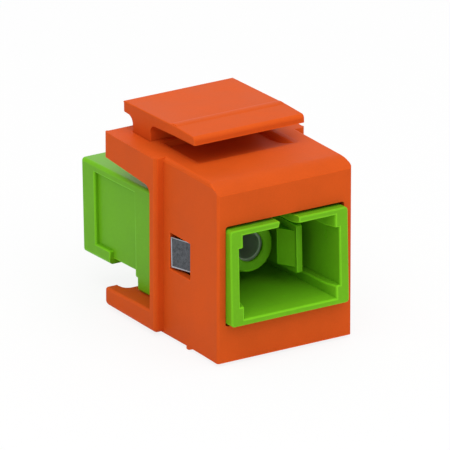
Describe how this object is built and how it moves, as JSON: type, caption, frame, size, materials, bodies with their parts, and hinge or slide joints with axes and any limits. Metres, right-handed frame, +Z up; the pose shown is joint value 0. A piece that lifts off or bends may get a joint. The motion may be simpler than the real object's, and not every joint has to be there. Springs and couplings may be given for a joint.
{
  "type": "fibre optic adapter",
  "caption": "Snap-in wall-plate carrier holding a push-pull fibre optic adapter that joins two plugs end to end in a split sleeve, with a sprung release latch on top.",
  "frame": {"origin": "under the middle of the adapter's length, on the centre plane, at the height of the nub on the bottom face", "axes": "+X to the right seen from the front port, +Y from the front port to the rear port, +Z up, towards the release latch"},
  "size_m": [0.0164, 0.0264, 0.0204],
  "materials": {
    "housing": "orange moulded plastic, satin",
    "release_latch": "orange moulded plastic, satin",
    "adapter_front_shell": "green moulded plastic, satin",
    "adapter_rear_shell": "green moulded plastic, satin",
    "front_sleeve_holder": "green moulded plastic, satin",
    "rear_sleeve_holder": "green moulded plastic, satin",
    "alignment_sleeve": "ground zirconia ceramic, off-white",
    "spring_clip": "stainless spring steel sheet",
    "front_latch_arm_left": "green moulded plastic, satin",
    "front_latch_arm_right": "green moulded plastic, satin",
    "rear_latch_arm_left": "green moulded plastic, satin",
    "rear_latch_arm_right": "green moulded plastic, satin"
  },
  "bodies": {
    "carrier": {"housing": "housing", "adapter_front_shell": "adapter_front_shell", "adapter_rear_shell": "adapter_rear_shell", "front_sleeve_holder": "front_sleeve_holder", "rear_sleeve_holder": "rear_sleeve_holder", "alignment_sleeve": "alignment_sleeve", "spring_clip": "spring_clip"},
    "latch": {"release_latch": "release_latch"},
    "front_arm_left": {"front_latch_arm_left": "front_latch_arm_left"},
    "front_arm_right": {"front_latch_arm_right": "front_latch_arm_right"},
    "rear_arm_left": {"rear_latch_arm_left": "rear_latch_arm_left"},
    "rear_arm_right": {"rear_latch_arm_right": "rear_latch_arm_right"}
  },
  "joints": [
    {"name": "latch_press", "type": "hinge", "parent": "carrier", "child": "latch", "pos_m": [0, 0.00316, 0.0175], "axis": [1, 0, 0], "range_deg": [0, 7], "stiffness_Nm_per_rad": 0.5},
    {"name": "front_arm_left_spread", "type": "hinge", "parent": "carrier", "child": "front_arm_left", "pos_m": [-0.00341, -0.0015, 0.00824], "axis": [0, -0.0349, -0.9994], "range_deg": [0, 5], "stiffness_Nm_per_rad": 0.2},
    {"name": "front_arm_right_spread", "type": "hinge", "parent": "carrier", "child": "front_arm_right", "pos_m": [0.00341, -0.0015, 0.00824], "axis": [0, 0.0349, 0.9994], "range_deg": [0, 5], "stiffness_Nm_per_rad": 0.2},
    {"name": "rear_arm_left_spread", "type": "hinge", "parent": "carrier", "child": "rear_arm_left", "pos_m": [-0.00341, 0.0015, 0.00813], "axis": [0, 0.0349, 0.9994], "range_deg": [0, 5], "stiffness_Nm_per_rad": 0.2},
    {"name": "rear_arm_right_spread", "type": "hinge", "parent": "carrier", "child": "rear_arm_right", "pos_m": [0.00341, 0.0015, 0.00813], "axis": [0, -0.0349, -0.9994], "range_deg": [0, 5], "stiffness_Nm_per_rad": 0.2}
  ]
}
